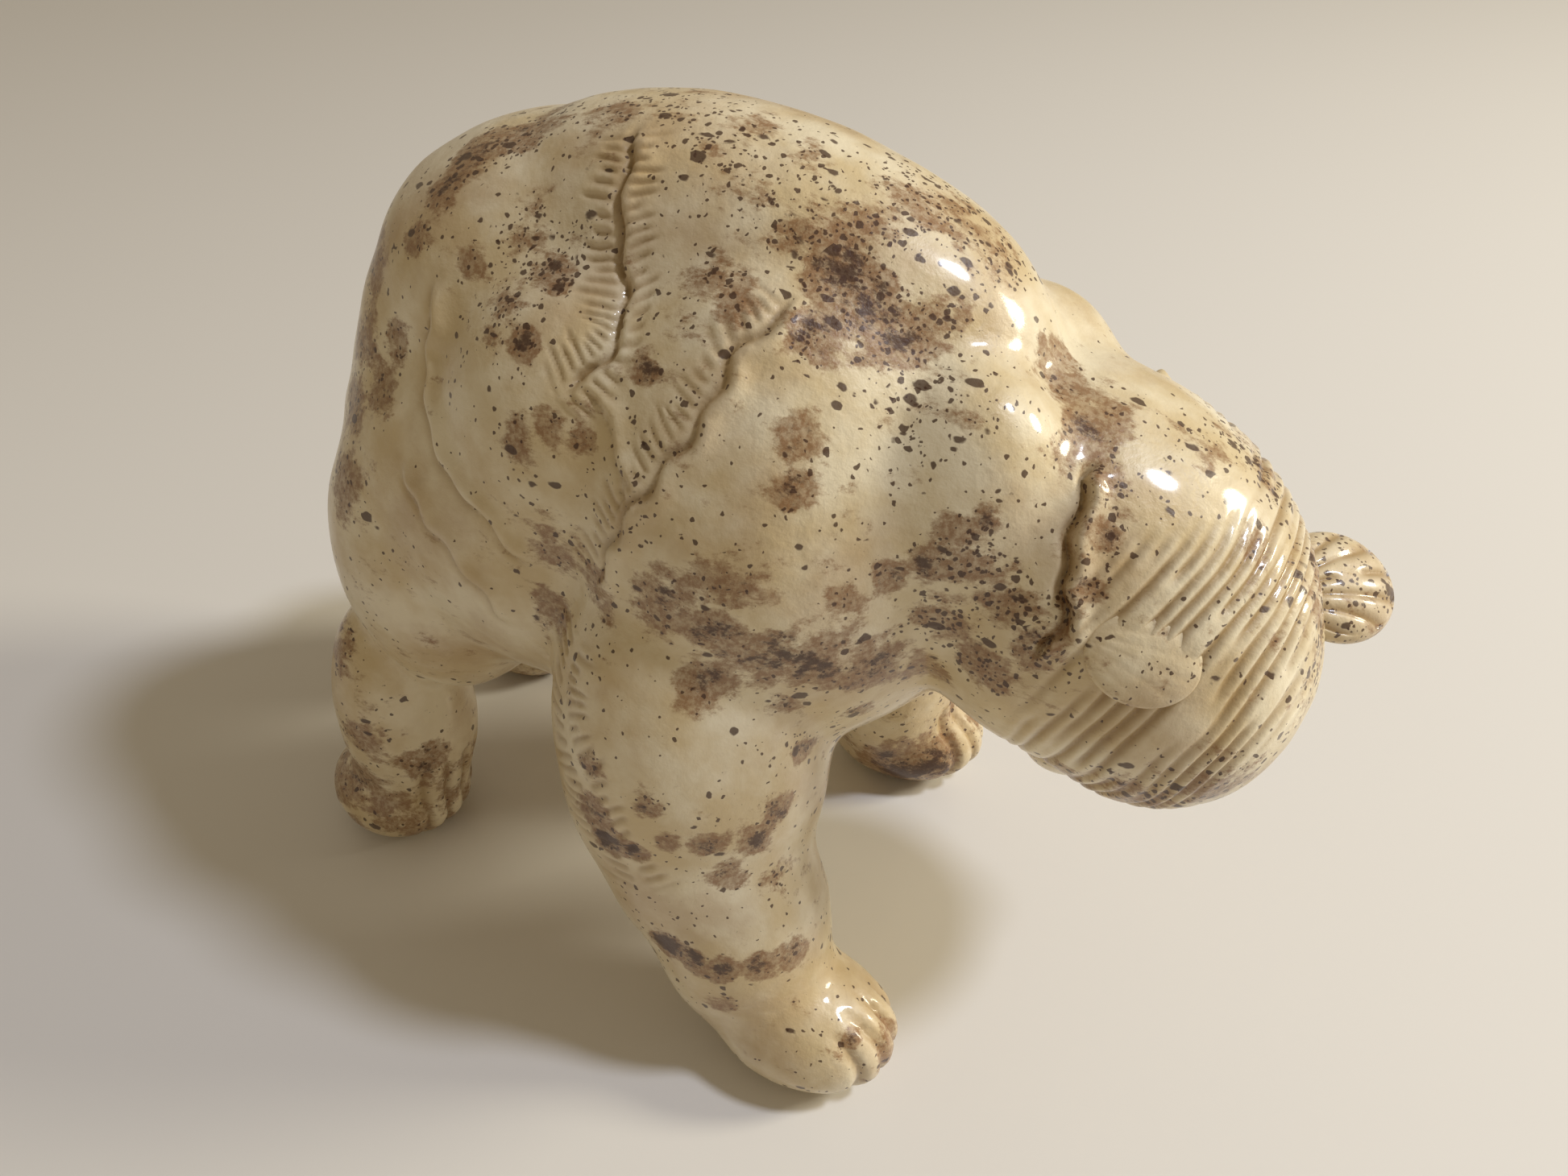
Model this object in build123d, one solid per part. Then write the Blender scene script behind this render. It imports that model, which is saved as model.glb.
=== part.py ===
from build123d import *
import os

# A hollow glazed-ceramic bear about 126 mm long, walking with its head hung low.
# It is cast in separate pieces, cut to seat on each other and luted together with slip:
# a torso shell, a hollow neck and head, four hollow legs, and small solid ears, eyes, nose and tail.
# Every form is built from bones: two balls joined by the cone that touches both.
# Millimetres. +X is the way the bear walks, +Y its left, +Z up, soles at Z = 0.

os.makedirs("parts", exist_ok=True)

WALL = 4.0                # cast wall of the torso, neck and head
LEG_WALL = 3.5            # cast wall of the legs
PIERCING = 5.0            # hole through the torso wall into each leg, so that it can fire
BELLY_VENT = 6.0          # drain and firing vent under the belly
THROAT = 20.0             # opening from the torso into the neck

# A bone is: first ball's centre, its radius, second ball's centre, its radius
BARREL = ((-14, 0, 58), 24, (13, 0, 62), 29)
SPINE = ((-17, 0, 72.5), 19, (22, 0, 80), 17.5)
NECK = ((26, 0, 70), 18, (52, 0.5, 57), 18)
TAIL = ((-34, 0, 72), 5, (-36, 0, 64), 4)

# The head hangs below the neck: its face points down, back and to the left.
# Places on the head are measured ahead, towards the left ear, and up to the crown.
HEAD_CENTRE = (56, 2, 52)
FACE_WAY = (-0.38, 0.28, -0.88)
LEFT_EAR_WAY = (0.36, 0.92, 0.15)
SKULL = ((0, -3.5, 0), 16.5, (0, 3.5, 0), 16.5)
MUZZLE = ((8, 0, -2), 10.5, (19.5, 0, -0.5), 7.5)
# The left ear stands out from the head; the right one is pressed flat against its side
EARS = {"ear_left": ((-7, 13.5, 8.6), (5.5, 14, 12)), "ear_right": ((-14.7, -13.4, 2.4), (12, 6, 10))}
EYE_PLACE, EYE_RADIUS = (11.6, 6.6, 9.6), 1.9
NOSE_PLACE, NOSE_SIZE = (26.3, 0, 1.5), (6, 8, 5)

# Legs: joints from root to toe, each a ball's centre and radius; the soles are cut flat at Z = 0
LEGS = {
    "foreleg_right": (((14, -18, 53), 14.5), ((19.5, -24, 29), 10.5), ((24.5, -26, 7.5), 9),
                      ((36, -27, 5.5), 7.7)),
    "foreleg_left": (((18.5, 16, 52), 14.3), ((20, 20, 28), 10.4), ((20, 21.5, 7.5), 9),
                     ((27.5, 22.5, 5.5), 7.8)),
    "hindleg_right": (((-22, -14, 49), 13.5), ((-31.5, -16.5, 25), 9.7), ((-34.5, -17.8, 7.5), 9),
                      ((-31.5, -18.2, 5.5), 8.2)),
    "hindleg_left": (((-27, 15, 48), 13.5), ((-33.5, 17.8, 25), 9.7), ((-38.5, 17.2, 7.5), 9),
                     ((-36.5, 16.8, 5.5), 8.4)),
}


def bone(start, start_radius, end, end_radius, inset=0.0):
    """Two balls and the cone that touches both, turned as one solid about the line between them."""
    r1, r2 = start_radius - inset, end_radius - inset
    start, end = Vector(*start), Vector(*end)
    span = (end - start).length
    lean = (r1 - r2) / span
    rise = (1 - lean ** 2) ** 0.5
    low = (r1 * rise, r1 * lean)
    high = (r2 * rise, span + r2 * lean)
    with BuildPart() as turned:
        with BuildSketch(Plane.XZ):
            with BuildLine():
                Line((0, -r1), (0, span + r2))
                RadiusArc((0, span + r2), high, r2)
                Line(high, low)
                RadiusArc(low, (0, -r1), r1)
            make_face()
        revolve(axis=Axis.Z)
    return Plane(origin=start, z_dir=end - start) * turned.part


def egg(size):
    """A ball pressed to a length, width and height."""
    return scale(Sphere(0.5), by=size)


def hole(start, end, diameter):
    """A round tool from one point to another, for piercing a wall."""
    line = Vector(*end) - Vector(*start)
    middle = (Vector(*end) + Vector(*start)) / 2
    return Plane(origin=middle, z_dir=line) * Cylinder(diameter / 2, line.length)


def torso_form(inset=0.0):
    return bone(*BARREL, inset=inset) + bone(*SPINE, inset=inset)


def leg_form(joints, inset=0.0):
    bones = [bone(*joints[i], *joints[i + 1], inset=inset) for i in range(len(joints) - 1)]
    return Part() + bones


head_plane = Plane(origin=HEAD_CENTRE, x_dir=FACE_WAY,
                   z_dir=Vector(*FACE_WAY).cross(Vector(*LEFT_EAR_WAY)))


def head_form(inset=0.0):
    """The neck and the head; with an inset, the hollow inside them, which stops short in the muzzle."""
    form = bone(*NECK, inset=inset) + head_plane * bone(*SKULL, inset=inset)
    if not inset:
        form += head_plane * bone(*MUZZLE)
    return form


def on_head(place, form, side=1):
    """A small form set on the head; side -1 puts it on the bear's right."""
    ahead, across, up = place
    return head_plane * Pos(ahead, across * side, up) * form


torso_skin = torso_form()
head_skin = head_form()
ground = Pos(0, 0, -20) * Box(200, 200, 40)

# Torso shell, pierced into the neck and each leg, and vented under the belly
torso = torso_skin - torso_form(WALL)
torso -= hole((26, 0, 70), (52, 0.5, 57), THROAT)
for (root, _), (knee, _), _, _ in LEGS.values():
    above_root = (root[0], 0, root[2] + 4)
    torso -= hole(above_root, knee, PIERCING)
torso -= hole((-4, 0, 50), (-4, 0, 20), BELLY_VENT)

# The pieces luted to it, each cut to the form that it seats on
nodes = {
    "torso": torso,
    "head": head_skin - torso_skin - head_form(WALL),
    "tail": bone(*TAIL) - torso_skin,
    "nose": on_head(NOSE_PLACE, egg(NOSE_SIZE)) - head_skin,
}
for name, joints in LEGS.items():
    nodes[name] = leg_form(joints) - torso_skin - leg_form(joints, LEG_WALL) - ground
for name, (place, size) in EARS.items():
    nodes[name] = on_head(place, egg(size)) - head_skin
for side_name, side in (("left", 1), ("right", -1)):
    nodes[f"eye_{side_name}"] = on_head(EYE_PLACE, Sphere(EYE_RADIUS), side) - head_skin

# The origin goes to the middle of the footprint box, on the soles
box = Compound([solid for shape in nodes.values() for solid in shape.solids()]).bounding_box()
middle_x = (box.min.X + box.max.X) / 2
middle_y = (box.min.Y + box.max.Y) / 2
print("box", box.size, "middle", round(middle_x, 3), round(middle_y, 3), "lowest", box.min.Z)
for name, shape in nodes.items():
    print(name, [round(solid.volume, 1) for solid in shape.solids()])
    export_step(Pos(-middle_x, -middle_y, 0) * Part(shape.solids()), f"parts/{name}.step")
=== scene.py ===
import bpy
import bmesh
import math
import numpy as np
from mathutils import Matrix, Quaternion, Vector


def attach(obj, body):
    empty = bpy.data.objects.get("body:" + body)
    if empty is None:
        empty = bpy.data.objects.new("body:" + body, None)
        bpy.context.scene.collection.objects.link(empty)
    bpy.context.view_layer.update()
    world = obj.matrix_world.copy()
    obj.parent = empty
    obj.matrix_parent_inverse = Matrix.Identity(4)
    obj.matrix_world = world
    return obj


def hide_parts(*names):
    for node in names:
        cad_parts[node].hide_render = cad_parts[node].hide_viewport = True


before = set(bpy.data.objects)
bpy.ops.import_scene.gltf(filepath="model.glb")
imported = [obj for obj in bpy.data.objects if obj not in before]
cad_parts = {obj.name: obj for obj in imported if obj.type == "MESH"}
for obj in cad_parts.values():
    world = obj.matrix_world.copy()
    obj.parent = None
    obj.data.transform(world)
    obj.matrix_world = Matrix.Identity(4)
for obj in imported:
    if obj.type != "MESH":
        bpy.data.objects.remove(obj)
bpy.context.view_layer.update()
bpy.ops.object.select_all(action="DESELECT")

# ---------------------------------------------------------------- the modelled clay
# Before it is parted, the bear is one modelled form: balls of clay pressed together and
# smoothed over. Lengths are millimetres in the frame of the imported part: +X is the way the
# bear walks, +Y its left, +Z up from the soles.
MM = 0.001
MIDDLE_Y = 2.2            # what is mirrored is mirrored across this plane
CLAY_BALLS = (
    # name, centre, size (length, width, height), degrees nose-down
    ("rump", (-33.4, 2.2, 61.5), (38.4, 41, 56.7), 3.6),
    ("loin", (-24.5, 2.2, 76.2), (46, 38, 37), 0),
    ("belly", (-22.3, 2.2, 57.1), (64, 55.2, 52), 0),
    ("flank_right", (-13.5, -9, 68), (38, 32, 40), 0),
    ("flank_left", (-13.5, 13.4, 68), (38, 32, 40), 0),
    ("shoulders", (2.4, 2.2, 62.8), (49.4, 59.8, 60.7), 0),
    ("shoulder_point_right", (21, -7.5, 67), (24, 20, 33), 8),
    ("shoulder_point_left", (20.6, 11.5, 66.6), (24, 20, 32.5), 8),
    ("hump", (-2.4, 2.2, 82.6), (60.2, 31, 30.4), 9.8),
    ("neck", (32.5, 2.2, 59), (48.5, 37.7, 38.4), 32.7),
    ("skull", (40.3, 3, 52.9), (35.5, 36.6, 30.7), 60.3),
    ("thigh_right", (-36.6, -12, 49.5), (28, 24.8, 42), 6.5),
    ("thigh_left", (-43.5, 18.8, 46), (28.8, 25.2, 44), 0),
    ("shank_right", (-47.6, -14.8, 21), (17.6, 18, 36), 0),
    ("shank_left", (-49.1, 20.2, 21.6), (18.2, 18.2, 36), 0),
    ("hind_paw_right", (-50.6, -15.8, 6.7), (19.6, 18, 14.2), 0),
    ("hind_paw_left", (-54.6, 19.2, 6.8), (23, 18.8, 14.4), 0),
    ("upper_right", (-1, -18.9, 39.5), (29.6, 29.2, 51.2), 0),
    ("upper_left", (3.6, 20.2, 43.2), (29.2, 28.4, 50.8), 0),
    ("elbow_right", (1.2, -23, 28), (22, 20.4, 34), -12),
    ("forearm_right", (6, -22.8, 18.6), (20.4, 20.8, 37), -9.3),
    ("forearm_left", (5, 22.6, 21.5), (20, 20.4, 38.6), 0),
    ("fore_paw_right", (14.8, -24.4, 6.7), (23, 17.4, 14.2), 0),
    ("fore_paw_left", (6.8, 24.6, 7.2), (24.2, 17.8, 14.6), 0),
    ("muzzle", (35.2, 7.9, 38), (15.5, 17, 25), 23),
    ("jaw", (30.6, 8.3, 39.5), (11, 14, 19), 23),
)
CLAY_GRAIN = 1.15
SMOOTHING_PASSES = 14


def press_ball(name, centre, size, pitch):
    bpy.ops.mesh.primitive_uv_sphere_add(
        segments=48, ring_count=24, radius=0.5, location=Vector(centre) * MM,
        rotation=(0, math.radians(pitch), 0), scale=Vector(size) * MM)
    ball = bpy.context.object
    ball.name = name
    return ball


clay_balls = [press_ball(*ball) for ball in CLAY_BALLS]
for ball in clay_balls:
    ball.select_set(True)
bpy.context.view_layer.objects.active = clay_balls[0]
bpy.ops.object.join()
clay = bpy.context.object
clay.name = "clay"
bpy.ops.object.transform_apply(location=True, rotation=True, scale=True)
one_form = clay.modifiers.new("one_form", "REMESH")
one_form.mode = "VOXEL"
one_form.voxel_size = CLAY_GRAIN * MM
bpy.ops.object.modifier_apply(modifier="one_form")
smoothed = clay.modifiers.new("smoothed", "SMOOTH")
smoothed.factor = 0.5
smoothed.iterations = SMOOTHING_PASSES
bpy.ops.object.modifier_apply(modifier="smoothed")
finer = clay.modifiers.new("finer", "SUBSURF")
finer.levels = 1
finer.render_levels = 1
bpy.ops.object.modifier_apply(modifier="finer")


def read_clay(mesh):
    """The mesh's points and outward normals, in millimetres."""
    count = len(mesh.vertices)
    places = np.empty(count * 3)
    normals = np.empty(count * 3)
    mesh.vertices.foreach_get("co", places)
    mesh.vertices.foreach_get("normal", normals)
    return places.reshape(-1, 3) / MM, normals.reshape(-1, 3)


def write_clay(mesh, places):
    mesh.vertices.foreach_set("co", (places * MM).ravel())
    mesh.update()


# The soles were pressed flat on the bench
SOLE_TRIM = 0.6
places, _ = read_clay(clay.data)
places[:, 2] = np.maximum(places[:, 2] - SOLE_TRIM, 0)
write_clay(clay.data, places)

# ---------------------------------------------------------------- tooling
# The coat is cut with a wooden tool while the clay is soft: wavy folds at the haunch, the
# shoulder and the neck, short strokes across them, and long strokes over the head.


def smooth_line(points, parts=8):
    """An even curve through a few points laid on the clay."""
    points = np.array(points, float)
    padded = np.vstack([2 * points[0] - points[1], points, 2 * points[-1] - points[-2]])
    t = np.linspace(0, 1, parts, endpoint=False)[:, None]
    spans = []
    for a, b, c, d in zip(padded, padded[1:], padded[2:], padded[3:]):
        spans.append(0.5 * (2 * b + (c - a) * t + (2 * a - 5 * b + 4 * c - d) * t ** 2
                            + (3 * b - a - 3 * c + d) * t ** 3))
    return np.vstack(spans + [points[-1:]])


def mirrored(points):
    return [(x, 2 * MIDDLE_Y - y, z) for x, y, z in points]


def ease(low, high, values):
    """0 below low, 1 above high, and smooth between."""
    t = np.clip((values - low) / (high - low), 0, 1)
    return t * t * (3 - 2 * t)


LATTICE = 32              # the unevenness repeats after this many grains


def unevenness(places, grain, seed):
    """Smooth random hand-made unevenness from -1 to 1, about grain across."""
    lattice = np.random.default_rng(seed).uniform(-1, 1, (LATTICE, LATTICE, LATTICE))
    cells = np.floor(places / grain).astype(int)
    t = ease(0, 1, places / grain - cells)
    total = np.zeros(len(places))
    for corner in np.ndindex(2, 2, 2):
        weight = np.prod(np.where(corner, t, 1 - t), axis=1)
        i, j, k = ((cells + corner) % LATTICE).T
        total += weight * lattice[i, j, k]
    return total


def measure(line, places, normals, reach):
    """Points within reach of a line: which, how far along it, how far to its side, and a fade at its ends."""
    steps = np.linalg.norm(np.diff(line, axis=0), axis=1)
    stations = np.concatenate([[0], np.cumsum(steps)])
    tangents = np.gradient(line, axis=0)
    tangents /= np.linalg.norm(tangents, axis=1)[:, None]
    inside = (places > line.min(0) - reach) & (places < line.max(0) + reach)
    near = np.where(inside.all(axis=1))[0]
    gaps = ((places[near][:, None] - line[None]) ** 2).sum(axis=2)
    nearest = gaps.argmin(axis=1)
    keep = gaps[np.arange(len(near)), nearest] < reach ** 2
    near, nearest = near[keep], nearest[keep]
    offset = places[near] - line[nearest]
    tangent = tangents[nearest]
    run = (offset * tangent).sum(axis=1)
    along = stations[nearest] + run
    beside = offset - tangent * run[:, None]
    side = np.sign((np.cross(normals[near], tangent) * offset).sum(axis=1))
    across = side * np.linalg.norm(beside, axis=1)
    ends = ease(-0.5, 3, along) * ease(-0.5, 3, stations[-1] - along)
    return near, along, across, ends


# Wavy folds, as points on the bear's right
HAUNCH_FOLD = ((-11.9, -3.5, 96), (-11.4, -6, 94.8), (-10.9, -8.8, 92.6), (-9.9, -11.2, 89.4),
               (-8.4, -13.5, 86.6), (-6.9, -16.4, 84.4), (-7.1, -18.8, 82.2), (-8.6, -20.4, 80.4),
               (-11.2, -21.2, 77.5))
FLANK_FOLD = ((-8.2, -20.5, 80), (-6, -22, 77.6), (-3.8, -23.8, 75), (-2.5, -25, 72.6), (-3, -26, 69))
SHOULDER_FOLD = ((8.2, -12.5, 88), (7.1, -14.9, 86.4), (4.8, -18.2, 84.2), (4.1, -20.9, 81.2),
                 (3.4, -22.6, 79), (1.7, -24, 76.6), (-0.2, -25.4, 73.5), (-2.5, -26.2, 69.9),
                 (-5.1, -26.4, 64.7), (-6.6, -26.8, 60.5))
THIGH_FOLD = ((-29, -14.7, 83), (-30.3, -16.1, 76.2), (-29.9, -18, 73.2), (-28.5, -19.8, 71.4),
              (-27.2, -21.4, 69.4), (-24.2, -23.2, 66.6), (-20.7, -24.1, 65), (-17.5, -24.6, 62.4),
              (-14.8, -24.6, 59.4))
BUTTOCK_FOLD = ((-30.9, -22.3, 66.4), (-30, -23.2, 64), (-28.3, -24, 62.4), (-25.1, -25, 59.4),
                (-21.6, -25.3, 55.7), (-18.8, -24.8, 51))
COLLAR_FOLD = ((34.3, -7, 76), (33.5, -8.8, 74.9), (33.8, -11.4, 72.1),
               (34, -14.1, 68), (35.2, -15, 65.4), (33, -16, 60))
FOLDS = (
    # line, depth, width, height of the raised lip
    (HAUNCH_FOLD, 0.8, 0.5, 0.4),
    (FLANK_FOLD, 0.15, 0.45, 0.45),
    (SHOULDER_FOLD, 0.45, 0.6, 0.5),
    (THIGH_FOLD, 0.3, 0.65, 0.8),
    (BUTTOCK_FOLD, 0.25, 0.6, 0.5),
    (COLLAR_FOLD, 1.1, 0.5, 0.75),
)
FAINT_ON_THE_LEFT = (THIGH_FOLD, BUTTOCK_FOLD)
FAINTNESS = 0.4
CUT_REACH = 3             # the clay is divided finer this far to each side of a fold
LIP_REACH = 6             # a fold moves the clay this far to each side
# Short strokes across a line on the bear's right
FORELEG_BACK = ((-7.6, -27.5, 57), (-9, -28.8, 52), (-8, -30.6, 47), (-5.4, -32.4, 43), (-2, -33.3, 36),
                (1, -33, 29))
STROKE_BANDS = (
    # line, spacing, reach to its left and to its right, depth
    (HAUNCH_FOLD, 1.2, 4.4, 5.5, 0.3),
    (SHOULDER_FOLD, 1.25, 1.2, 5.2, 0.17),
    (FORELEG_BACK, 1.5, 5.5, 8, 0.27),
)
# Long strokes lie over the head, from the crown down to the right cheek
COMBED_WAY = np.array((-0.36, -0.62, -0.70))
COMBED_ACROSS = np.array((0.885, 0.01, -0.467))
COMBED_PITCH = 1.45
COMBED_DEPTH = 0.45
COMBED_RISE = 0.1         # the clay under the long strokes stands this much higher
# Low lumps left by the hands all over
LUMP_HEIGHT = 0.22
FINE_LUMP_HEIGHT = 0.08

both_sides = []
for fold, depth, width, lip in FOLDS:
    both_sides.append((smooth_line(fold), depth, width, lip, 1))
    fainter = FAINTNESS if fold in FAINT_ON_THE_LEFT else 1
    both_sides.append((smooth_line(mirrored(fold)), depth * fainter, width, lip * fainter, -1))
both_bands = []
for line, spacing, reach_left, reach_right, depth in STROKE_BANDS:
    both_bands.append((smooth_line(line), spacing, reach_left, reach_right, depth))
    both_bands.append((smooth_line(mirrored(line)), spacing, reach_right, reach_left, depth))


def head_zone(places):
    """1 on the head where the long strokes run, fading out at their edge."""
    below_crown = 1 - ease(69, 72.5, places[:, 2] - 0.3 * np.maximum(places[:, 1], 0))
    return ease(32, 38, places[:, 0] + 0.25 * (60 - places[:, 2])) * ease(34, 42, places[:, 2]) * below_crown


# The worked zones are divided finer, to hold the strokes
places, normals = read_clay(clay.data)
worked = head_zone(places) > 0.05
for line, depth, width, lip, lip_side in both_sides:
    worked[measure(line, places, normals, CUT_REACH)[0]] = True
for line, spacing, reach_left, reach_right, depth in both_bands:
    worked[measure(line, places, normals, max(reach_left, reach_right))[0]] = True
bpy.ops.object.mode_set(mode="EDIT")
bpy.ops.mesh.select_all(action="DESELECT")
bpy.ops.object.mode_set(mode="OBJECT")
clay.data.vertices.foreach_set("select", worked)
bpy.ops.object.mode_set(mode="EDIT")
bpy.ops.mesh.select_mode(type="VERT")
bpy.ops.mesh.subdivide(number_cuts=1, smoothness=0.6)
bpy.ops.object.mode_set(mode="OBJECT")

places, normals = read_clay(clay.data)
lift = LUMP_HEIGHT * unevenness(places, 9, seed=1) + FINE_LUMP_HEIGHT * unevenness(places, 3.5, seed=2)
pooled = np.zeros(len(places))

for line, depth, width, lip, lip_side in both_sides:
    near, along, across, ends = measure(line, places, normals, LIP_REACH)
    wave = 0.35 * np.sin(along * 1.1) + 0.25 * unevenness(places[near], 2.5, seed=3)
    across = (across + wave) * lip_side
    cut = np.exp(-(across / width) ** 2) * ends
    swell = np.exp(-((across - 1.9 * width) / (2.0 * width)) ** 2) * (across > 0) * ends
    lift[near] += lip * swell - depth * cut
    pooled[near] = np.maximum(pooled[near], cut * min(1, depth * 1.6))

for line, spacing, reach_left, reach_right, depth in both_bands:
    near, along, across, ends = measure(line, places, normals, max(reach_left, reach_right))
    reach = np.where(across > 0, reach_left, reach_right)
    far = np.abs(across)
    sweep = along + 0.25 * far + 0.45 * unevenness(places[near], 4, seed=4)
    row = np.floor(sweep / spacing)
    each_stroke = np.column_stack([row * 3.7, np.sign(across) * 5, row * 0])
    ragged = 0.75 + 0.25 * unevenness(each_stroke, 1, seed=5)
    stroke = np.exp(-(((sweep / spacing) - row - 0.5) / 0.24) ** 2)
    stroke *= ease(0.5, 1.2, far) * (1 - ease(0.65, 1.0, far / (reach * ragged))) * ends
    lift[near] -= depth * stroke - 0.4 * depth * ease(0.5, 1.2, far) * (1 - ease(0.5, 1, far / reach)) * ends
    pooled[near] = np.maximum(pooled[near], 0.6 * stroke)

on_head = np.where(head_zone(places) > 0)[0]
spots = places[on_head]
way = spots @ COMBED_WAY
over = spots @ COMBED_ACROSS + 1.2 * unevenness(spots, 9, seed=6)
row = np.floor(over / COMBED_PITCH)
broken = unevenness(np.column_stack([row * 5.3, way / 6, row * 0]), 1, seed=7)
stroke = np.exp(-((over / COMBED_PITCH - row - 0.5) / 0.27) ** 2) * ease(-0.75, -0.1, broken)
stroke *= head_zone(spots) * (1 - ease(0.55, 0.85, np.abs(normals[on_head] @ COMBED_ACROSS)))
lift[on_head] -= COMBED_DEPTH * stroke - COMBED_RISE * head_zone(spots)
pooled[on_head] = np.maximum(pooled[on_head], stroke)

# Toes: shallow cuts down the front of each paw, between the toes
PAWS = (
    # middle, reach of the toes
    ((15.6, -24.4), 10), ((6.8, 24.6), 9), ((-49.8, -15.8), 8), ((-54.6, 19.2), 8),
)
TOE_GAPS = (-3.9, -1.3, 1.3, 3.9)
TOE_CUT_DEPTH = 0.7
TOE_CUT_WIDTH = 0.55
for (paw_x, paw_y), reach in PAWS:
    ahead = places[:, 0] - paw_x
    aside = places[:, 1] - paw_y
    here = (np.hypot(ahead, aside) < 16) & (places[:, 2] < 15)
    front = ease(0.35 * reach, 0.8 * reach, ahead) * here * ease(0, 2, places[:, 2])
    for gap in TOE_GAPS:
        cut = np.exp(-((aside - gap * (1 + 0.02 * ahead)) / TOE_CUT_WIDTH) ** 2) * front
        lift -= TOE_CUT_DEPTH * cut
        pooled = np.maximum(pooled, 0.7 * cut)

# A firing vent goes up into the belly
VENT_X, VENT_Y = -19.6, 2.2
VENT_RADIUS, VENT_RIM_RADIUS = 2.4, 3.2
VENT_DEPTH = 4
BELLY_HEIGHT = 45         # the vent touches only what is below this
from_vent = np.hypot(places[:, 0] - VENT_X, places[:, 1] - VENT_Y)
vent = (1 - ease(VENT_RADIUS, VENT_RIM_RADIUS, from_vent)) * (places[:, 2] < BELLY_HEIGHT)
lift -= VENT_DEPTH * vent
pooled = np.maximum(pooled, vent)

standing = places[:, 2] < 0.25
lift[standing] = np.minimum(lift[standing], 0)
places += normals * lift[:, None]
places[:, 2] = np.maximum(places[:, 2], 0)
write_clay(clay.data, places)

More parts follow.
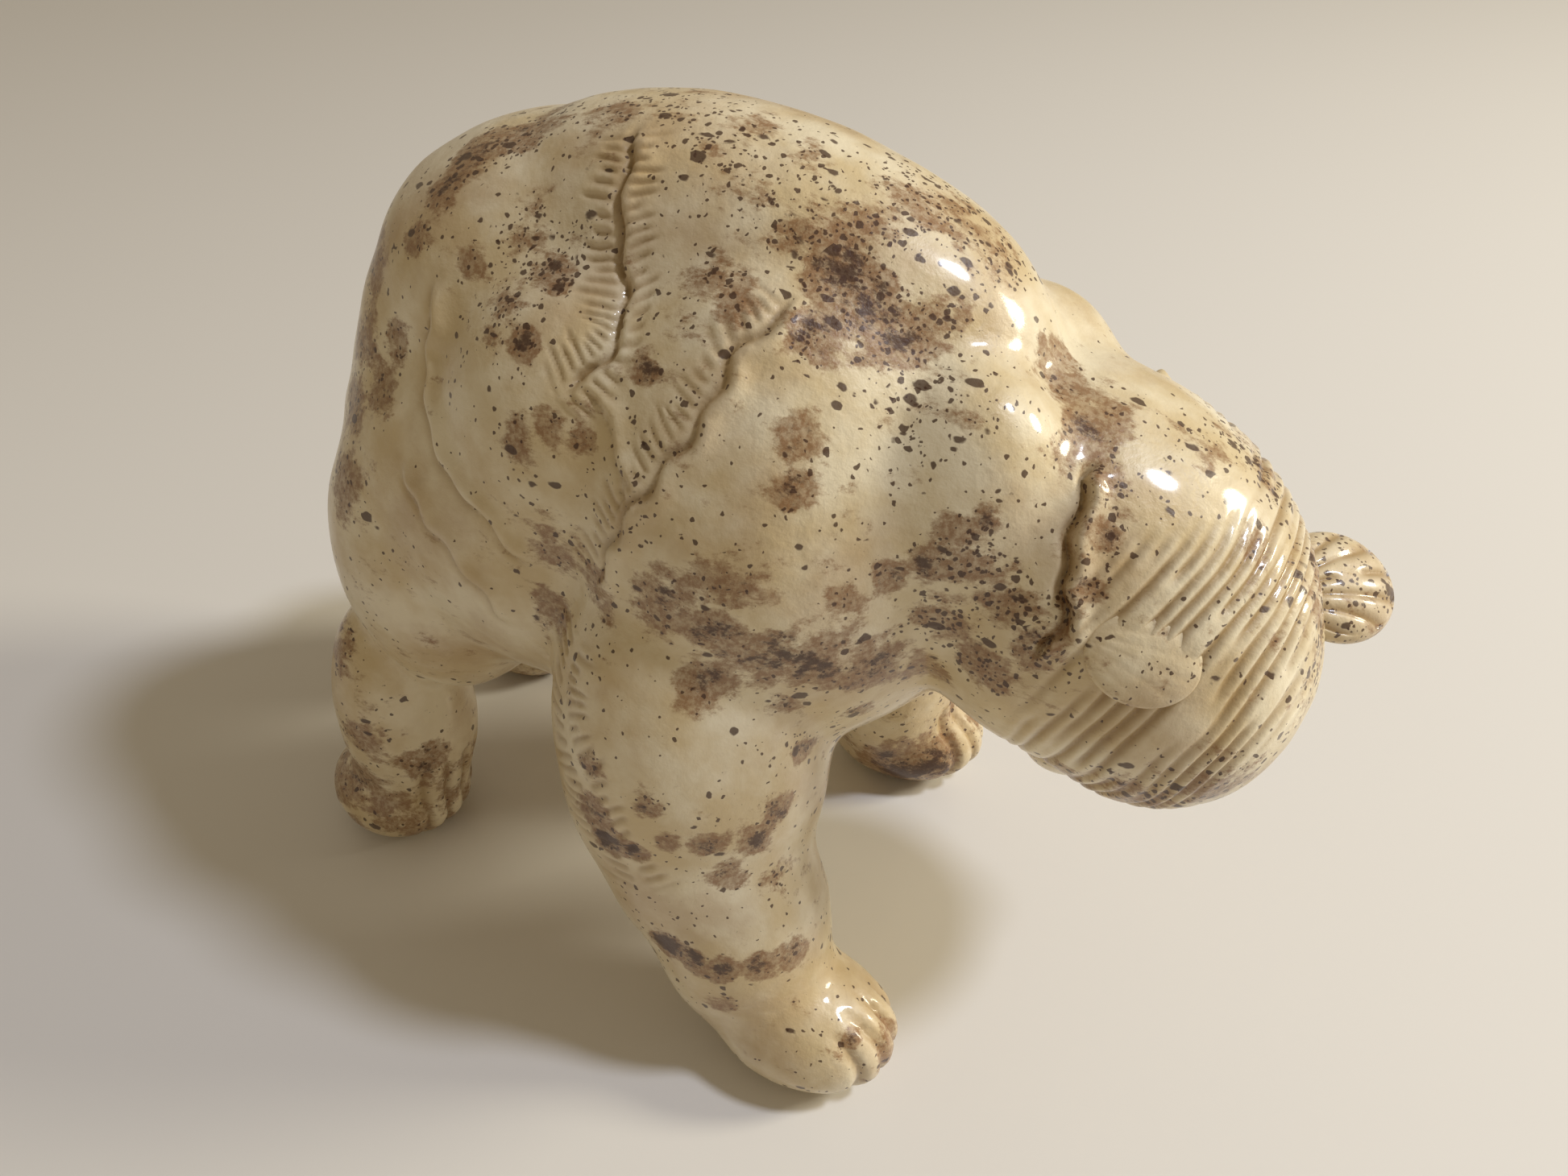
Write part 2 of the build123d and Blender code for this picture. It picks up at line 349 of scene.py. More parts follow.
# ---------------------------------------------------------------- brown slip, and one dab of painted shade
# Iron-brown slip is dabbed and spattered on before the glaze, and one tan dab paints shade where the left
# thigh meets the belly. Each dab is kept on the clay as two amounts, stain and painted shade for the washed
# patches and spatter for the dots, that the glaze reads.
DABS = (
    # centre, reach, stain (painted shade for the dab at the left thigh crease), spatter
    # hump and back
    ((6, -8, 91), 4, 0.62, 0.9), ((10, -9, 89), 4.5, 0.85, 1), ((13, -9, 87), 4.5, 0.9, 1),
    ((16, -9, 85), 5, 0.75, 1), ((10, -13.5, 86), 3, 0.8, 0.9), ((11, -5, 90.5), 5, 0.6, 1),
    ((14, 0, 91), 7, 0.5, 1), ((20, 1, 88), 5, 0.45, 0.9), ((2, -4, 94), 8, 0.3, 0.75),
    ((-10, 1, 97), 7, 0.35, 0.7), ((-2, -1, 96.5), 6, 0.4, 0.5), ((-16, -2, 96), 5, 0.5, 0.5),
    ((0, -13, 88), 4, 0.62, 0.3), ((3, -14, 87), 3, 0.68, 0.3), ((-3, -20, 82), 2.2, 0.8, 0.3),
    ((12, -20, 79), 3, 0.72, 0.2), ((12.3, -21.5, 75.5), 2.6, 0.75, 0.2), ((20, -12, 80), 7, 0.3, 0.6),
    # rump and haunch
    ((-28.5, -5, 92), 5, 0.72, 0.6), ((-26, -3, 93), 4, 0.66, 0.7), ((-31, -8.5, 89.5), 4, 0.75, 0.5),
    ((-24, -1, 94.5), 5, 0.5, 0.6), ((-25, -14, 85.5), 2.6, 0.72, 0.2), ((-41, -10, 81), 5, 0.62, 0.4),
    ((-41, -14, 74), 5, 0.7, 0.3), ((-42, -16, 67), 5, 0.72, 0.3), ((-40.6, -21, 60), 5, 0.6, 0.3),
    ((-35.6, -15, 75.5), 3.5, 0.66, 0.3), ((-37, -17, 70), 3.5, 0.66, 0.3),
    ((-33, -12, 85.5), 3, 0.6, 0.5), ((-20, -12, 87.5), 4, 0.45, 1), ((-16, -14, 86), 4, 0.5, 1),
    ((-19, -17, 83.5), 4, 0.5, 1), ((-15.3, -19.8, 81.7), 1.6, 1.1, 0.9),
    ((-15.7, -13.4, 86.4), 1.2, 1.1, 0.9), ((-14, -15.5, 85.4), 1, 1.1, 0.9),
    ((-11.2, -23.2, 76), 2.4, 0.72, 0.3), ((-8, -23, 75.4), 2.2, 0.72, 0.3),
    ((-14.5, -23.7, 74.5), 3, 0.66, 0.2), ((-10, -24.5, 64), 5, 0.5, 0.2), ((-6, -26, 62), 4, 0.6, 0.2),
    ((-13, -24.6, 55), 4, 0.62, 0.2),
    # collar and neck
    ((29, -1, 79), 4, 0.66, 0.2), ((32, -4.7, 77.4), 3.5, 0.8, 0.3), ((27, 0.7, 80), 4, 0.66, 0.2),
    ((31, -8, 76), 3, 0.72, 0.5), ((35.5, -8.5, 75), 2.6, 0.5, 1), ((36, -11.4, 71.5), 2.6, 0.6, 1),
    ((35.5, -14, 67.5), 2.8, 0.66, 1), ((44, 6, 74.5), 5, 0.4, 1), ((47, 4, 72), 4, 0.5, 1),
    ((41, 0, 75), 4, 0.5, 0.4), ((47, -3, 68), 3, 0.6, 0.3),
    # shoulder
    ((26, -16, 68.6), 4, 0.55, 1), ((30, -15.6, 65), 4.5, 0.62, 1), ((33, -16, 62), 4, 0.6, 1),
    ((28.5, -16, 58.5), 4, 0.66, 1), ((25, -16.3, 62), 4.5, 0.6, 1), ((3, -27.5, 63), 5, 0.72, 0.3),
    ((7.4, -27, 61.5), 5, 0.8, 0.2), ((11.3, -25.3, 59), 5, 0.8, 0.2), ((15, -23, 57.5), 4.5, 0.8, 0.3),
    ((19, -19, 56), 4.5, 0.76, 0.4), ((23, -15.5, 54), 4, 0.72, 0.5), ((6.4, -27, 56.5), 4, 0.75, 0.2),
    ((13, -24, 52), 3, 0.66, 0.4), ((20, -18.7, 66.3), 2.6, 0.75, 0.4), ((23, -17, 68), 2.6, 0.78, 0.4),
    ((17, -21, 65), 3, 0.72, 0.3), ((25, -16.3, 71.5), 2.5, 0.7, 0.5), ((27, -15, 73), 2, 0.75, 0.5),
    ((8, -26, 67), 5, 0.62, 0.3), ((13.2, -21, 45), 2.2, 0.8, 0.3), ((17.5, -18, 49), 3, 0.62, 0.5),
    # forelegs
    ((-3.9, -32.3, 45), 3, 0.72, 0.3), ((-4, -33, 39), 3.5, 0.8, 0.3), ((-3, -33, 35.5), 3.2, 1.1, 0.3),
    ((0, -33.3, 35.5), 2.4, 0.95, 0.3), ((2, -33, 42.8), 2.5, 0.72, 0.3),
    ((4, -32.6, 38.5), 2, 0.85, 0.2), ((7.4, -30.8, 37.5), 2.4, 0.95, 0.2),
    ((11, -27.2, 36.5), 2.6, 0.95, 0.2), ((12.4, -25, 40), 2.4, 0.8, 0.3), ((9, -30, 33), 3, 0.75, 0.2),
    ((13.5, -26, 30), 3, 0.62, 0.5), ((2.8, -32.6, 21.5), 2.6, 1.1, 0.2),
    ((6, -32.8, 21), 2.6, 0.95, 0.2), ((9, -32.4, 20.5), 2.8, 0.95, 0.2),
    ((12.3, -30.4, 20.5), 2.6, 0.9, 0.2), ((15, -27, 20.5), 2.4, 0.8, 0.3),
    ((9, -32.5, 15), 3, 0.62, 0.2), ((22.5, -27.5, 11), 1.8, 0.9, 0.2), ((24, -24, 6), 5, 0.62, 0.2),
    ((9, 17, 6), 7, 0.95, 0.2), ((14, 18, 7), 5, 0.9, 0.2),
    # hind legs; the dab at (-28, 20, 42) is painted shade, a tan wash where the left thigh meets the belly
    ((-50, -17, 8), 11, 0.85, 0.3), ((-41, -20, 17), 4, 0.75, 0.3), ((-47, -23, 22), 4, 0.66, 0.3),
    ((-50, -20, 33), 5, 0.6, 0.3), ((-54, 19, 5), 13, 0.8, 0.2), ((-28, 20, 42), 8, 0.6, 0.2),
    # cheek, muzzle and brow
    ((36, -13, 42), 6, 0.75, 0.6), ((44, -14, 44), 6, 0.62, 0.7), ((50, -9, 47), 6, 0.6, 0.6),
    ((33, 10, 31), 7, 0.72, 0.2), ((52, 6, 50), 6, 0.5, 0.5),
)
DABS_ON_FAR_SIDE = 34
FAR_SIDE_Y = 4
BARE_STAIN = 0.12
BARE_SPATTER = 0.1
loose = np.random.default_rng(11)
dabs = list(DABS)
for index in loose.integers(0, len(places), 6 * DABS_ON_FAR_SIDE):
    if places[index, 1] > FAR_SIDE_Y and len(dabs) < len(DABS) + DABS_ON_FAR_SIDE:
        dabs.append((places[index], loose.uniform(4, 9), loose.uniform(0.4, 0.68), loose.uniform(0.1, 1)))
stain_and_shade = np.full(len(places), BARE_STAIN) + 0.14 * unevenness(places, 12, seed=8)
spatter = np.full(len(places), BARE_SPATTER) + 0.12 * unevenness(places, 11, seed=9)
edge = 1 + 0.35 * unevenness(places, 5, seed=10) + 0.25 * unevenness(places, 2, seed=12)
for centre, reach, stain_and_shade_amount, spattered in dabs:
    distance = np.linalg.norm(places - np.array(centre), axis=1)
    ragged = distance * edge
    dab = 1 - ease(0.1 * reach, 1.5 * reach, ragged)
    stain_and_shade = np.maximum(stain_and_shade, dab * stain_and_shade_amount)
    spatter = np.maximum(spatter, dab * spattered)
for name, amount in (("stain_and_shade", stain_and_shade), ("spatter", spatter), ("pooled", pooled)):
    clay.data.attributes.new(name, "FLOAT", "POINT").data.foreach_set("value", amount)

# ---------------------------------------------------------------- the glaze
# A thin gloss over cream clay and brown slip. It pools amber in the tool marks.


def link(tree, source, target):
    tree.links.new(source, target)


def add(tree, kind, **settings):
    node = tree.nodes.new(kind)
    for key, value in settings.items():
        setattr(node, key, value)
    return node


def spatter_group():
    """Round dots of slip: thrown as thick as the amount says."""
    tree = bpy.data.node_groups.new("slip_spatter", "ShaderNodeTree")
    tree.interface.new_socket("Vector", in_out="INPUT", socket_type="NodeSocketVector")
    tree.interface.new_socket("Amount", in_out="INPUT", socket_type="NodeSocketFloat")
    tree.interface.new_socket("Density", in_out="INPUT", socket_type="NodeSocketFloat")
    tree.interface.new_socket("Size", in_out="INPUT", socket_type="NodeSocketFloat")
    tree.interface.new_socket("Dots", in_out="OUTPUT", socket_type="NodeSocketFloat")
    entry = add(tree, "NodeGroupInput")
    leave = add(tree, "NodeGroupOutput")
    warp = add(tree, "ShaderNodeTexNoise")
    warp.inputs["Scale"].default_value = 900
    bend = add(tree, "ShaderNodeVectorMath", operation="SCALE")
    bend.inputs["Scale"].default_value = 0.0009
    shifted = add(tree, "ShaderNodeVectorMath", operation="ADD")
    cells = add(tree, "ShaderNodeTexVoronoi")
    link(tree, entry.outputs["Vector"], warp.inputs["Vector"])
    link(tree, warp.outputs["Color"], bend.inputs[0])
    link(tree, entry.outputs["Vector"], shifted.inputs[0])
    link(tree, bend.outputs[0], shifted.inputs[1])
    link(tree, shifted.outputs[0], cells.inputs["Vector"])
    link(tree, entry.outputs["Density"], cells.inputs["Scale"])
    pick = add(tree, "ShaderNodeSeparateColor")
    link(tree, cells.outputs["Color"], pick.inputs["Color"])
    size = add(tree, "ShaderNodeMath", operation="MULTIPLY")
    link(tree, pick.outputs["Green"], size.inputs[0])
    link(tree, entry.outputs["Size"], size.inputs[1])
    edge = add(tree, "ShaderNodeMath", operation="SUBTRACT")
    link(tree, size.outputs[0], edge.inputs[0])
    link(tree, cells.outputs["Distance"], edge.inputs[1])
    dot = add(tree, "ShaderNodeMath", operation="MULTIPLY", use_clamp=True)
    link(tree, edge.outputs[0], dot.inputs[0])
    dot.inputs[1].default_value = 14
    thrown = add(tree, "ShaderNodeMath", operation="LESS_THAN")
    link(tree, pick.outputs["Red"], thrown.inputs[0])
    link(tree, entry.outputs["Amount"], thrown.inputs[1])
    dots = add(tree, "ShaderNodeMath", operation="MULTIPLY")
    link(tree, dot.outputs[0], dots.inputs[0])
    link(tree, thrown.outputs[0], dots.inputs[1])
    link(tree, dots.outputs[0], leave.inputs["Dots"])
    return tree


def mix(tree, amount, under, over):
    """Paint one colour over another by an amount; each is a socket or a colour."""
    node = add(tree, "ShaderNodeMix", data_type="RGBA")
    link(tree, amount, node.inputs["Factor"])
    for socket, value in ((node.inputs[6], under), (node.inputs[7], over)):
        if isinstance(value, tuple):
            socket.default_value = (*value, 1)
        else:
            link(tree, value, socket)
    return node.outputs[2]


def ramp(tree, source, low, high):
    """Stretch a value so that low becomes 0 and high becomes 1, smoothly."""
    node = add(tree, "ShaderNodeMapRange", interpolation_type="SMOOTHSTEP")
    node.inputs["From Min"].default_value = low
    node.inputs["From Max"].default_value = high
    link(tree, source, node.inputs["Value"])
    return node.outputs["Result"]


def noise(tree, vector, scale, detail, roughness=0.55):
    node = add(tree, "ShaderNodeTexNoise")
    node.inputs["Scale"].default_value = scale
    node.inputs["Detail"].default_value = detail
    node.inputs["Roughness"].default_value = roughness
    link(tree, vector, node.inputs["Vector"])
    return node.outputs["Fac"]


def math_node(tree, operation, first, second):
    node = add(tree, "ShaderNodeMath", operation=operation)
    for socket, value in zip(node.inputs, (first, second)):
        if isinstance(value, (int, float)):
            socket.default_value = value
        else:
            link(tree, value, socket)
    return node.outputs[0]


def amount_of(tree, name):
    node = add(tree, "ShaderNodeAttribute", attribute_name=name)
    return node.outputs["Fac"]


CREAM = (0.62, 0.49, 0.28)
PALE_CREAM = (0.78, 0.69, 0.50)
AMBER = (0.31, 0.185, 0.06)
WASH_BROWN = (0.24, 0.115, 0.042)
DARK_BROWN = (0.06, 0.024, 0.012)
CLOUD_BROWN = (0.43, 0.28, 0.14)
SPATTER_DOTS = (
    # dots to a metre, size, share of the amount
    (420, 0.34, 0.3), (760, 0.46, 0.75), (1250, 0.5, 0.95), (2100, 0.5, 0.95),
)
FINE_DOTS = 1000          # dots closer than this are not pulled out along the body
BODY_PULL = (0.55, 1, 1)
slip_spatter = spatter_group()


def glazed(name):
    """The fired surface: cream clay, washed and spattered slip, one wash of painted shade, and amber pools in
    the marks.
    """
    material = bpy.data.materials.new(name)
    material.use_nodes = True
    tree = material.node_tree
    skin = tree.nodes["Principled BSDF"]
    here = add(tree, "ShaderNodeTexCoord").outputs["Object"]
    stain_and_shade_here = amount_of(tree, "stain_and_shade")
    spatter_here = amount_of(tree, "spatter")
    pooled_here = amount_of(tree, "pooled")

    pulled = add(tree, "ShaderNodeVectorMath", operation="MULTIPLY")
    link(tree, here, pulled.inputs[0])
    pulled.inputs[1].default_value = BODY_PULL
    along_body = pulled.outputs[0]

    body = mix(tree, ramp(tree, noise(tree, here, 110, 4), 0.35, 0.65), CREAM, PALE_CREAM)
    cloudy = math_node(tree, "MULTIPLY", ramp(tree, noise(tree, here, 60, 5, 0.6), 0.44, 0.68), 0.5)
    body = mix(tree, cloudy, body, CLOUD_BROWN)
    body = mix(tree, math_node(tree, "MULTIPLY", pooled_here, 0.85), body, AMBER)

    ragged = noise(tree, along_body, 380, 8, 0.72)
    wash = math_node(tree, "ADD", stain_and_shade_here, math_node(tree, "MULTIPLY", ragged, 2))
    grain = ramp(tree, noise(tree, here, 1400, 4, 0.7), 0.35, 0.62)
    grainy = math_node(tree, "ADD", math_node(tree, "MULTIPLY", grain, 0.38), 0.5)
    washed = math_node(tree, "MULTIPLY", ramp(tree, wash, 1.28, 1.55), grainy)
    # The brown wash is slip, and painted shade at the left thigh crease.
    body = mix(tree, washed, body, WASH_BROWN)
    torn = noise(tree, along_body, 520, 8, 0.75)
    thick = math_node(tree, "ADD", stain_and_shade_here, math_node(tree, "MULTIPLY", torn, 2))
    heavy = ramp(tree, thick, 1.68, 1.95)
    body = mix(tree, math_node(tree, "MULTIPLY", heavy, 0.9), body, DARK_BROWN)

    for density, size, share in SPATTER_DOTS:
        dots = add(tree, "ShaderNodeGroup", node_tree=slip_spatter)
        link(tree, along_body if density < FINE_DOTS else here, dots.inputs["Vector"])
        link(tree, math_node(tree, "MULTIPLY", spatter_here, share), dots.inputs["Amount"])
        dots.inputs["Density"].default_value = density
        dots.inputs["Size"].default_value = size
        body = mix(tree, math_node(tree, "MULTIPLY", dots.outputs["Dots"], 0.88), body, DARK_BROWN)
    link(tree, body, skin.inputs["Base Color"])

    skin.inputs["Specular IOR Level"].default_value = 0.35
    skin.inputs["Coat Weight"].default_value = 0.4
    skin.inputs["Coat Roughness"].default_value = 0.1
    dull = ramp(tree, noise(tree, here, 300, 4), 0.3, 0.7)
    rough = math_node(tree, "ADD", math_node(tree, "MULTIPLY", dull, 0.14), 0.36)
    link(tree, rough, skin.inputs["Roughness"])
    pitted = add(tree, "ShaderNodeBump")
    pitted.inputs["Strength"].default_value = 0.35
    pitted.inputs["Distance"].default_value = 0.0005
    link(tree, noise(tree, here, 550, 5, 0.6), pitted.inputs["Height"])
    link(tree, pitted.outputs["Normal"], skin.inputs["Normal"])
    return material


glaze = glazed("cream_glaze")
bpy.ops.object.shade_smooth()
clay.data.materials.append(glaze)

# ---------------------------------------------------------------- parting
# The castings part where each seats on the torso: the neck behind the collar fold, and the
# legs round their roots. Each is closed across its seat, as it is luted.
# A bone is: first end, its radius, second end, its radius
TORSO_BONES = (((-29.6, 2.25, 58), 24, (-2.6, 2.25, 62), 29),
               ((-32.6, 2.25, 71), 19, (6.4, 2.25, 78.5), 17))
LEG_BONES = {
    "foreleg_right": (((-1.6, -15.75, 53), 14.5, (3.9, -21.75, 29), 10.5),
                      ((3.9, -21.75, 29), 10.5, (8.9, -23.75, 7.5), 9)),
    "foreleg_left": (((2.9, 18.25, 52), 14.3, (4.4, 22.25, 28), 10.4),
                     ((4.4, 22.25, 28), 10.4, (4.4, 23.75, 7.5), 9)),
    "hindleg_right": (((-37.6, -11.75, 49), 13.5, (-47.1, -14.25, 25), 9.7),
                      ((-47.1, -14.25, 25), 9.7, (-50.1, -15.55, 7.5), 9)),
    "hindleg_left": (((-42.6, 17.25, 48), 13.5, (-49.1, 20.05, 25), 9.7),
                     ((-49.1, 20.05, 25), 9.7, (-54.1, 19.45, 7.5), 9)),
}
COLLAR_PLACE = np.array((33.4, -8, 74))
COLLAR_WAY = np.array((0.97, 0.02, -0.23))
CHIN = 20                 # everything ahead of the collar and above this height is the head
SPLIT_LIMITS = (0.05, 0.95)
CAP_SIDES = 20            # a face with more sides than this is a filled seat


def depth_outside(places, bones):
    """How far each point lies outside a set of tapered bones."""
    nearest = np.full(len(places), np.inf)
    for start, start_radius, end, end_radius in bones:
        start, end = np.array(start), np.array(end)
        line = end - start
        t = np.clip(((places - start) @ line) / (line @ line), 0, 1)
        gap = np.linalg.norm(places - start - t[:, None] * line, axis=1)
        nearest = np.minimum(nearest, gap - start_radius - t * (end_radius - start_radius))
    return nearest


def seat_value(name, places):
    """Below zero on the piece that is parted off, above zero on the rest of the clay."""
    if name == "head":
        return np.maximum((COLLAR_PLACE - places) @ COLLAR_WAY, CHIN - places[:, 2])
    rest = [depth_outside(places, bones) for leg, bones in LEG_BONES.items() if leg != name]
    rest.append(depth_outside(places, TORSO_BONES))
    return depth_outside(places, LEG_BONES[name]) - np.minimum.reduce(rest)


def part_off(name):
    """Cut one casting from the clay along its seat and return it."""
    places, _ = read_clay(clay.data)
    value = seat_value(name, places)
    form = bmesh.new()
    form.from_mesh(clay.data)
    form.verts.ensure_lookup_table()
    crossed = [edge for edge in form.edges
               if (value[edge.verts[0].index] > 0) != (value[edge.verts[1].index] > 0)]
    seat = set()
    for edge in crossed:
        first, second = edge.verts
        a, b = value[first.index], value[second.index]
        share = float(np.clip(a / (a - b), *SPLIT_LIMITS))
        seat.add(bmesh.utils.edge_split(edge, first, share)[1])
    for face in {face for vert in seat for face in vert.link_faces}:
        ends = [vert for vert in face.verts if vert in seat]
        if len(ends) == 2:
            bmesh.utils.face_split(face, *ends)
    centres = np.array([face.calc_center_median() for face in form.faces]) / MM
    wanted = seat_value(name, centres) < 0
    for face, chosen in zip(form.faces, wanted):
        face.select_set(bool(chosen))
    form.to_mesh(clay.data)
    form.free()
    clay.data.update()
    bpy.ops.object.select_all(action="DESELECT")
    clay.select_set(True)
    bpy.context.view_layer.objects.active = clay
    bpy.ops.object.mode_set(mode="EDIT")
    bpy.ops.mesh.select_mode(type="FACE")
    bpy.ops.mesh.separate(type="SELECTED")
    bpy.ops.object.mode_set(mode="OBJECT")
    piece = next(thing for thing in bpy.context.selected_objects if thing is not clay)
    piece.name = name + "_casting"
    return piece


_, normals = read_clay(clay.data)
skin_way = clay.data.attributes.new("skin_way", "FLOAT_VECTOR", "POINT")
skin_way.data.foreach_set("vector", normals.ravel())
castings = {name: part_off(name) for name in ("head", *LEG_BONES)}
castings["torso"] = clay
clay.name = "torso_casting"


def close_seats(piece):
    """Fill the open seats, then keep the whole clay's shading up to the very edge."""
    bpy.ops.object.select_all(action="DESELECT")
    piece.select_set(True)
    bpy.context.view_layer.objects.active = piece
    bpy.ops.object.mode_set(mode="EDIT")
    bpy.ops.mesh.select_mode(type="EDGE")
    bpy.ops.mesh.select_all(action="SELECT")
    bpy.ops.mesh.fill_holes(sides=0)
    bpy.ops.object.mode_set(mode="OBJECT")
    mesh = piece.data
    form = bmesh.new()
    form.from_mesh(mesh)
    bmesh.ops.poke(form, faces=[face for face in form.faces if len(face.verts) > CAP_SIDES])
    form.to_mesh(mesh)
    form.free()
    ways = np.empty(len(mesh.vertices) * 3)
    mesh.attributes["skin_way"].data.foreach_get("vector", ways)
    ways = ways.reshape(-1, 3)
    ways /= np.maximum(np.linalg.norm(ways, axis=1), 1e-9)[:, None]
    mesh.normals_split_custom_set_from_vertices(ways.tolist())
    mesh.attributes.remove(mesh.attributes["skin_way"])


for name, piece in castings.items():
    close_seats(piece)
    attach(piece, "root")
    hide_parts(name)

# ---------------------------------------------------------------- ears
# Two lobes luted to the head and cut with strokes that fan out from the root. The left one
# stands out and is cupped towards the face. The right one is pressed flat and barely cut.
HEAD_CENTRE = Vector((40.36, 4.25, 52))
FACE_WAY = Vector((-0.38, 0.28, -0.88)).normalized()
LEFT_EAR_WAY = Vector((0.36, 0.92, 0.15)).normalized()
CROWN_WAY = FACE_WAY.cross(LEFT_EAR_WAY).normalized()
head_turn = Matrix((FACE_WAY, LEFT_EAR_WAY, CROWN_WAY)).transposed()


def on_the_head(ahead, left, up):
    """A place measured from the middle of the skull, in the head's own directions."""
    return HEAD_CENTRE + FACE_WAY * ahead + LEFT_EAR_WAY * left + CROWN_WAY * up


def unit_ball(segments, rings):
    """A new ball of radius 1 to be shaped, and its points."""
    bpy.ops.object.select_all(action="DESELECT")
    bpy.ops.mesh.primitive_uv_sphere_add(segments=segments, ring_count=rings, radius=1)
    ball = bpy.context.object
    points, _ = read_clay(ball.data)
    return ball, points * MM


def paint_even(piece, stain_and_shade_amount, spattered, pooled_here):
    """Small pieces take one amount of slip all over, and pools where they are cut."""
    count = len(piece.data.vertices)
    amounts = {"stain_and_shade": np.full(count, stain_and_shade_amount), "spatter": np.full(count, spattered), "pooled": pooled_here}
    for name, amount in amounts.items():
        piece.data.attributes.new(name, "FLOAT", "POINT").data.foreach_set("value", amount)


FAN_PITCH = 0.2           # radians from stroke to stroke
FAN_ROOT = 1.6
EAR_STAIN = 0.22


def press_ear(name, place, tip_way, front_way, size, cup, cut, spattered):
    """A lobe at a place on the head: which way its tip and its front point, width, length and
    thickness, how deep its front is cupped and how deep it is cut. Ways are in the head's directions."""
    ear, ball = unit_ball(96, 64)
    ear.name = name + "_pressing"
    across, out, front = ball.T
    spread = np.hypot(across, out)
    rows = np.arctan2(across, out + FAN_ROOT) / FAN_PITCH
    fan = np.exp(-((rows - np.round(rows)) / 0.2) ** 2) * (spread < 0.93) * ease(0.1, 0.4, spread)
    hollow = cup * (1 - ease(0.2, 0.85, spread)) * (front > 0)
    width, length, thickness = size
    depth = thickness / 2 * front - hollow - cut * fan * np.sign(front)
    tip_way = Vector(tip_way).normalized()
    across_way = tip_way.cross(Vector(front_way)).normalized()
    front_way = across_way.cross(tip_way)
    turn = np.array([tuple(across_way), tuple(tip_way), tuple(front_way)])
    shaped = np.column_stack([across * width / 2, out * length / 2, depth]) @ turn
    write_clay(ear.data, shaped @ np.array(head_turn).T + np.array(on_the_head(*place)))
    bpy.ops.object.mode_set(mode="EDIT")
    bpy.ops.mesh.select_all(action="SELECT")
    bpy.ops.mesh.normals_make_consistent(inside=False)
    bpy.ops.object.mode_set(mode="OBJECT")
    bpy.ops.object.shade_smooth()
    paint_even(ear, EAR_STAIN, spattered, min(0.9, 3 * cut) * fan)
    ear.data.materials.append(glaze)
    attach(ear, "root")
    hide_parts(name)


press_ear("ear_left", place=(-7, 13, 8.5), tip_way=(0, 0.88, 0.47), front_way=(1, 0, 0),
          size=(12, 12.8, 5.6), cup=1.3, cut=0.32, spattered=0.5)
press_ear("ear_right", place=(-14.3, -14.7, 1.5), tip_way=(0.08, 0.52, 0.85), front_way=(-0.73, -0.62, 0.23),
          size=(8.4, 10.6, 2.2), cup=0, cut=0.04, spattered=0.15)

# ---------------------------------------------------------------- tail
# A short flat stub pressed down over the rump.
TAIL_PLACE = (-50.6, 2.2, 67)
TAIL_LEAN = 10            # degrees
TAIL_STROKE_PITCH = 0.3   # as a share of the tail's half width
tail, ball = unit_ball(64, 48)
ahead, aside, above = ball.T
rows = aside / TAIL_STROKE_PITCH
combed = np.exp(-((rows - np.round(rows)) / 0.25) ** 2) * (ahead < 0)
radius = 1 - 0.06 * combed
tail_shape = np.column_stack([ahead * 3.6, aside * (5.2 + 0.8 * above), above * 9]) * radius[:, None]
tail_lean = np.array(Matrix.Rotation(math.radians(TAIL_LEAN), 3, "Y"))
write_clay(tail.data, tail_shape @ tail_lean.T + np.array(TAIL_PLACE))
bpy.ops.object.shade_smooth()
paint_even(tail, 0.35, 0.3, 0.5 * combed)
tail.data.materials.append(glaze)
tail.name = "tail_stub"
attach(tail, "root")
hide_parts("tail")

# ---------------------------------------------------------------- nose and eyes
# A button of clay for the nose and two pellets for the eyes, brushed with dark slip.
THICK_SLIP = (0.03, 0.018, 0.014)
THIN_SLIP = (0.16, 0.09, 0.05)
dark_glaze = bpy.data.materials.new("dark_slip_glaze")
dark_glaze.use_nodes = True
dark_tree = dark_glaze.node_tree
dark_skin = dark_tree.nodes["Principled BSDF"]
dark_here = add(dark_tree, "ShaderNodeTexCoord").outputs["Object"]
thinned = ramp(dark_tree, noise(dark_tree, dark_here, 700, 5), 0.5, 0.75)
slip_color = mix(dark_tree, thinned, THICK_SLIP, THIN_SLIP)
link(dark_tree, slip_color, dark_skin.inputs["Base Color"])
dark_skin.inputs["Roughness"].default_value = 0.22
dark_skin.inputs["Coat Weight"].default_value = 0.6
dark_skin.inputs["Coat Roughness"].default_value = 0.08


def press_pellet(name, place, size, dent=0.0):
    """A pellet of a size at a place on the head; a dent presses two nostrils into its front."""
    pellet, ball = unit_ball(48, 32)
    nostrils = np.zeros(len(ball))
    for side in (-1, 1):
        gap = np.hypot((ball[:, 1] - 0.45 * side) / 0.22, (ball[:, 2] + 0.1) / 0.3)
        nostrils += np.exp(-gap ** 2) * (ball[:, 0] > 0)
    shaped = ball * (1 - dent * nostrils)[:, None] * np.array(size) / 2
    write_clay(pellet.data, shaped @ np.array(head_turn).T + np.array(on_the_head(*place)))
    bpy.ops.object.shade_smooth()
    pellet.data.materials.append(dark_glaze)
    pellet.name = name + "_pellet"
    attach(pellet, "root")
    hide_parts(name)


press_pellet("nose", (24.6, 0, 2.2), (6, 8.4, 5.4), 0.3)
press_pellet("eye_left", (11.2, 6.8, 9.9), (3.6, 3.6, 3.4))
press_pellet("eye_right", (11.2, -6.8, 9.9), (3.6, 3.6, 3.4))

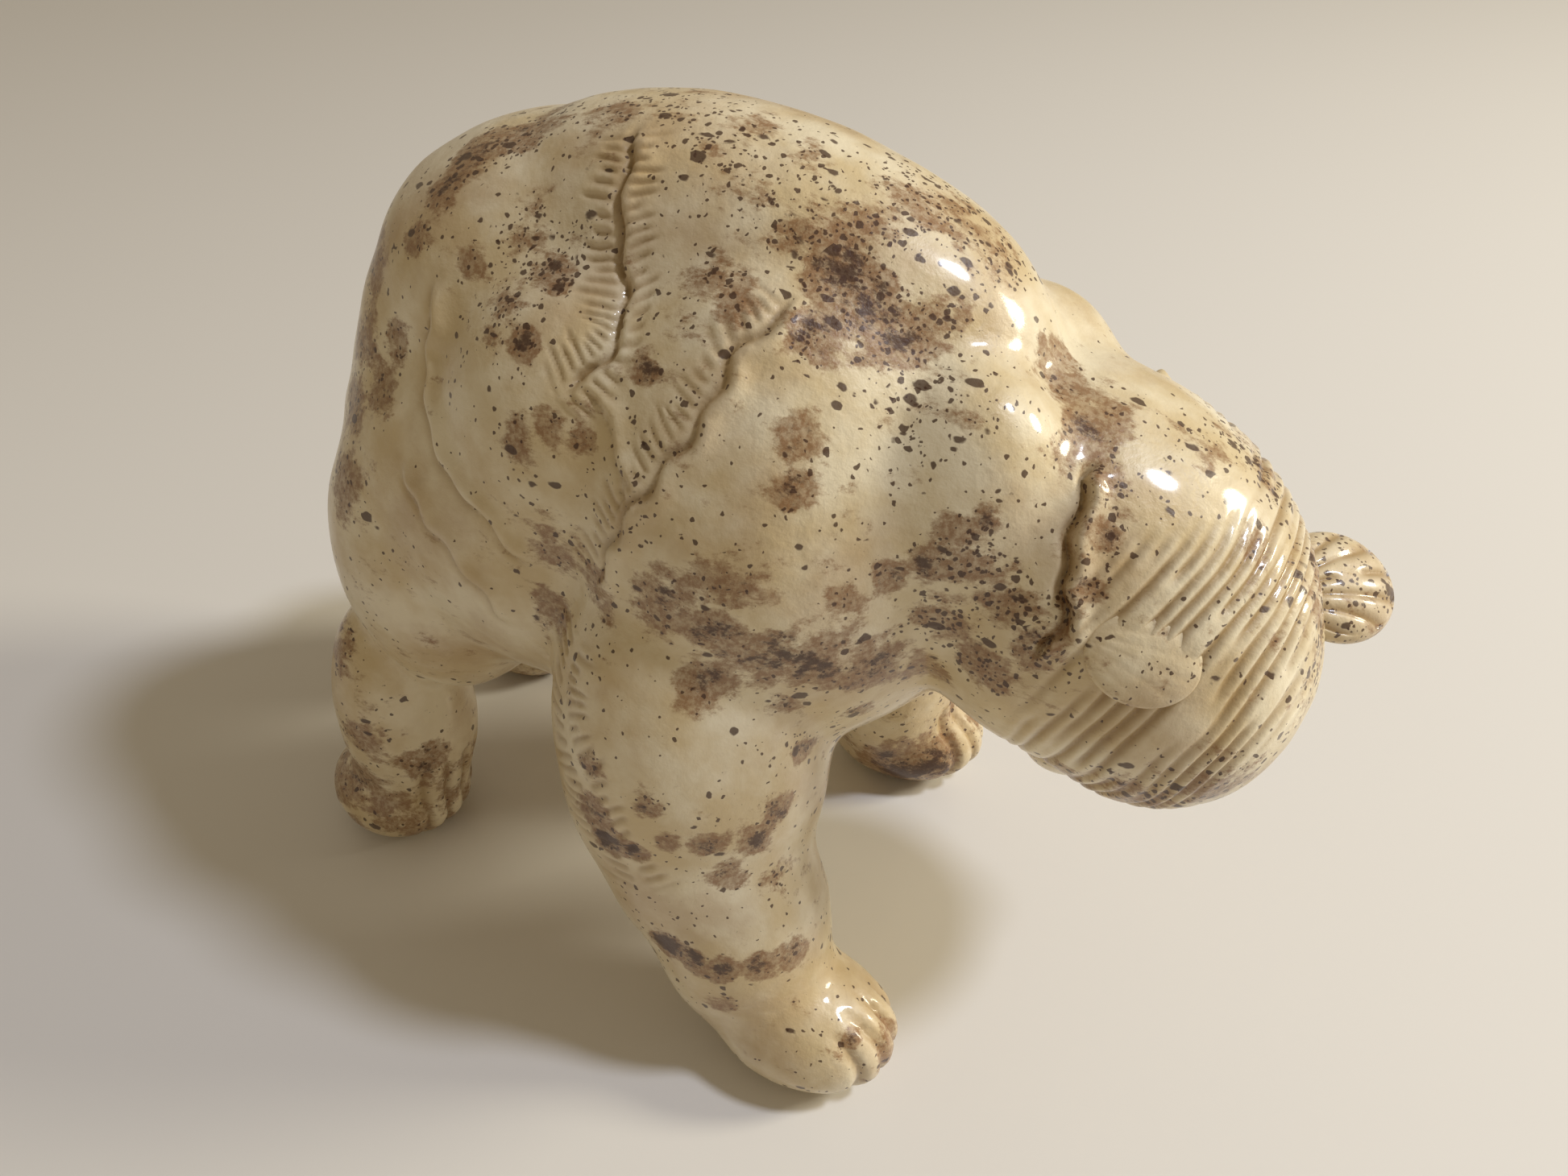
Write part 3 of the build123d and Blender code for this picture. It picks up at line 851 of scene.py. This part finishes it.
# ---------------------------------------------------------------- floor, lights and camera
# A plain pale floor, two soft lamps ahead of the bear, one high and one low and warm, and a
# camera ahead of the bear's right side that looks down on it from close by.
FLOOR_COLOR = (0.74, 0.72, 0.69, 1)
ROOM_COLOR = (1, 0.83, 0.58, 1)
ROOM_STRENGTH = 0.31
bpy.ops.mesh.primitive_plane_add(size=4)
floor = bpy.context.object
floor.name = "floor"
floor_paint = bpy.data.materials.new("floor_paint")
floor_paint.use_nodes = True
floor_skin = floor_paint.node_tree.nodes["Principled BSDF"]
floor_skin.inputs["Base Color"].default_value = FLOOR_COLOR
floor_skin.inputs["Roughness"].default_value = 0.35
floor.data.materials.append(floor_paint)


def lamp(name, azimuth, elevation, size, power, color):
    """A round lamp one metre from the middle of the footprint, shining at it."""
    turn, rise = math.radians(azimuth), math.radians(elevation)
    way = Vector((math.cos(turn) * math.cos(rise), math.sin(turn) * math.cos(rise), math.sin(rise)))
    bpy.ops.object.light_add(type="AREA", location=way)
    light = bpy.context.object
    light.name = name
    light.data.shape = "DISK"
    light.data.size = size
    light.data.energy = power
    light.data.color = color
    light.rotation_euler = way.to_track_quat("Z", "Y").to_euler()


lamp("high_lamp", 16, 56, 0.13, 4.7, (0.82, 0.87, 1))
lamp("low_warm_lamp", 30, 29, 0.22, 6.2, (1, 0.93, 0.74))
room = bpy.data.worlds.new("room")
room.use_nodes = True
room.node_tree.nodes["Background"].inputs["Color"].default_value = ROOM_COLOR
room.node_tree.nodes["Background"].inputs["Strength"].default_value = ROOM_STRENGTH
bpy.context.scene.world = room

CAMERA_PLACE = Vector((51.8, -100.45, 133.6)) * MM
CAMERA_TARGET = Vector((-1.9, 4.15, 42)) * MM
CAMERA_ROLL = -0.5
bpy.ops.object.camera_add(location=CAMERA_PLACE)
camera = bpy.context.object
camera.data.sensor_width = 36
camera.data.lens = 29.14
camera.data.clip_start = 0.005
look = (CAMERA_TARGET - CAMERA_PLACE).to_track_quat("-Z", "Y")
camera.rotation_euler = (look @ Quaternion((0, 0, 1), math.radians(CAMERA_ROLL))).to_euler()
bpy.context.scene.camera = camera
bpy.context.scene.view_settings.view_transform = "Standard"
